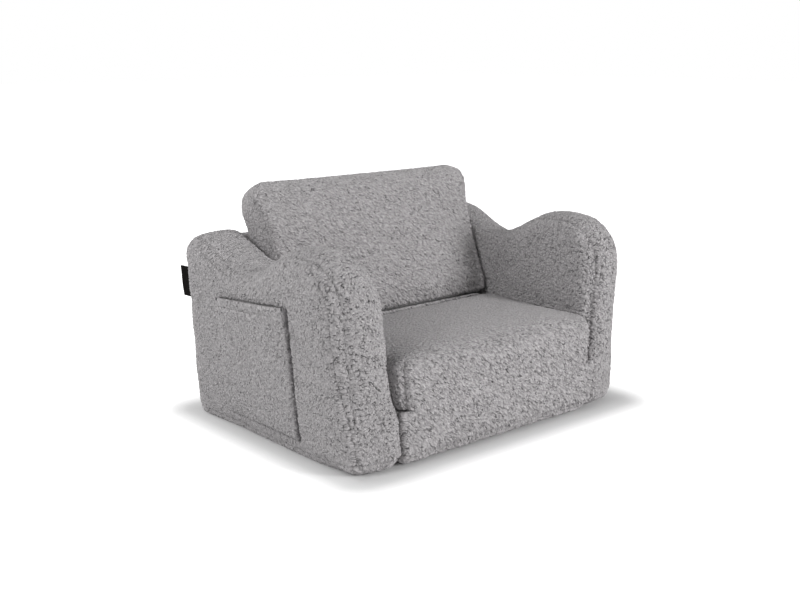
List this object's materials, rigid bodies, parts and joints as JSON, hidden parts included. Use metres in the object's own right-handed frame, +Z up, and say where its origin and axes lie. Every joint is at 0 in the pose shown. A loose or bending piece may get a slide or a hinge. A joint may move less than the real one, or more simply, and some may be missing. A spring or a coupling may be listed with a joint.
{
  "type": "childrens armchair",
  "caption": "Low foam armchair for a small child in fleece covers, with wave-topped arms and a side pocket, that flips open forward into a lounger.",
  "frame": {"origin": "on the floor under the middle of the chair's box", "axes": "+X to the right seen from the front, across the arms; the front faces -Y; +Z up"},
  "size_m": [0.5917, 0.4355, 0.3644],
  "materials": {
    "fleece": "light grey curly sherpa fleece, matt",
    "foam": "open-cell polyurethane foam, matt",
    "sole_cloth": "black non-slip cloth with fine dots",
    "woven_tab": "dark brown woven tape, left bare",
    "zip_tape": "grey nylon zip tape and coil",
    "zip_metal": "dark grey painted zip slider"
  },
  "bodies": {
    "frame": {"anti_slip_sole": "sole_cloth", "arm_left_foam": "foam", "arm_left_gusset": "fleece", "arm_left_inner_panel": "fleece", "arm_left_outer_panel": "fleece", "arm_right_foam": "foam", "arm_right_gusset": "fleece", "arm_right_inner_panel": "fleece", "arm_right_outer_panel": "fleece", "base_deck": "fleece", "base_foam": "foam", "base_front_strip": "fleece", "rear_block_foam": "foam", "rear_inner_strip": "fleece", "rear_outer_strip": "fleece", "seat_hinge_roll": "fleece", "pocket_patch": "fleece", "pocket_hem": "fleece", "label_tab": "woven_tab", "frame_zip": "zip_tape"},
    "seat_cushion": {"seat_foam": "foam", "seat_top_panel": "fleece", "seat_under_panel": "fleece", "seat_boxing": "fleece", "seat_zip": "zip_tape", "back_hinge_roll": "fleece"},
    "back_cushion": {"back_foam": "foam", "back_front_panel": "fleece", "back_rear_panel": "fleece", "back_boxing": "fleece", "back_zip": "zip_tape"},
    "seat_slider": {"seat_zip_slider": "zip_metal"},
    "back_slider": {"back_zip_slider": "zip_metal"},
    "frame_slider": {"frame_zip_slider": "zip_metal"}
  },
  "joints": [
    {"name": "seat_flip", "type": "hinge", "parent": "frame", "child": "seat_cushion", "pos_m": [0, -0.2137, 0.0805], "axis": [1, 0, 0], "range_deg": [0, 180]},
    {"name": "back_fold", "type": "hinge", "parent": "seat_cushion", "child": "back_cushion", "pos_m": [0, 0.0248, 0.1523], "axis": [-1, 0, 0], "range_deg": [0, 66.6]},
    {"name": "seat_zip_travel", "type": "slide", "parent": "seat_cushion", "child": "seat_slider", "axis": [1, 0, 0], "range_m": [0, 0.277]},
    {"name": "back_zip_travel", "type": "slide", "parent": "back_cushion", "child": "back_slider", "axis": [1, 0, 0], "range_m": [0, 0.286]},
    {"name": "frame_zip_travel", "type": "slide", "parent": "frame", "child": "frame_slider", "axis": [1, 0, 0], "range_m": [0, 0.297]}
  ],
  "couplings": [
    {"joint": "back_fold", "follows": "seat_flip", "ratio": 0.37}
  ]
}
